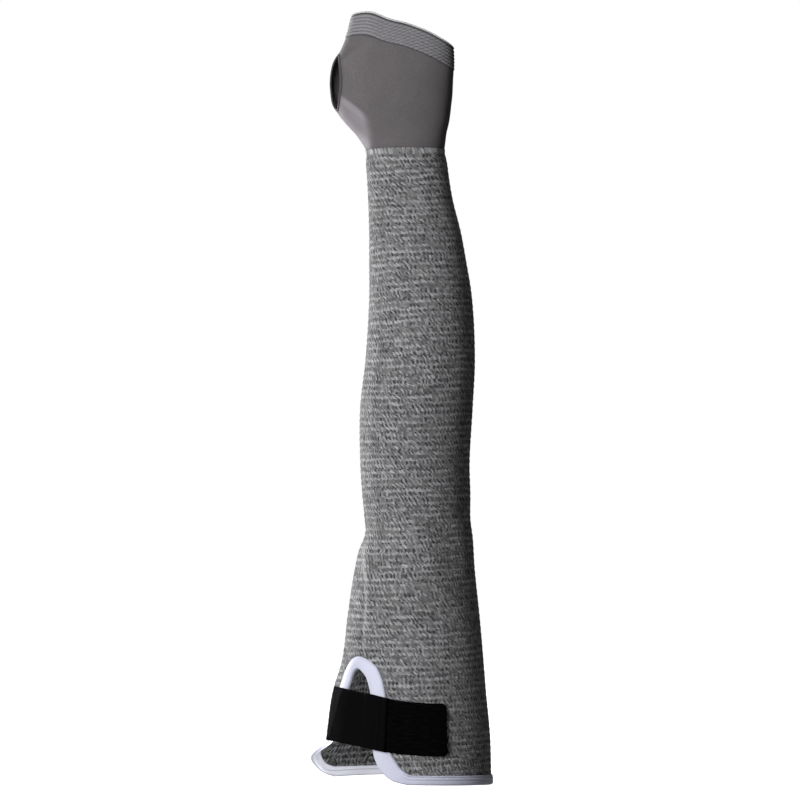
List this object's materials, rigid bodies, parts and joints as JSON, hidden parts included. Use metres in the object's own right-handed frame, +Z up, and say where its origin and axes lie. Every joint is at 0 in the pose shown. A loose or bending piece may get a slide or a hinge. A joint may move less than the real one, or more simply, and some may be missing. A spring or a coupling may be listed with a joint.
{
  "type": "cut resistant sleeve",
  "caption": "Knitted protective arm sleeve with a thumb hole, a ribbed finger cuff, a white bound slit at the upper arm and a black closing strap, in its worn form.",
  "frame": {"origin": "middle of the upper arm opening, level with the edge of the knit", "axes": "+Z up the arm to the fingers, -Y to the front that shows the slit and the strap, -X to the thumb"},
  "size_m": [0.1317, 0.1142, 0.5612],
  "materials": {
    "marled_knit": "grey and black marled cut resistant knit, matte",
    "plain_knit": "fine warm grey plain knit, matte",
    "ribbed_knit": "grey knit in fine light and dark courses, matte",
    "white_binding": "smooth white folded tape, slight sheen",
    "black_webbing": "black woven band, matte",
    "black_loop_tape": "black brushed loop tape, matte"
  },
  "bodies": {
    "root": {"arm_tube": "marled_knit", "hand_tube": "plain_knit", "finger_cuff": "ribbed_knit", "thumb_welt": "plain_knit", "hem_binding": "white_binding", "strap_webbing": "black_webbing", "strap_tab": "black_loop_tape"}
  },
  "joints": []
}
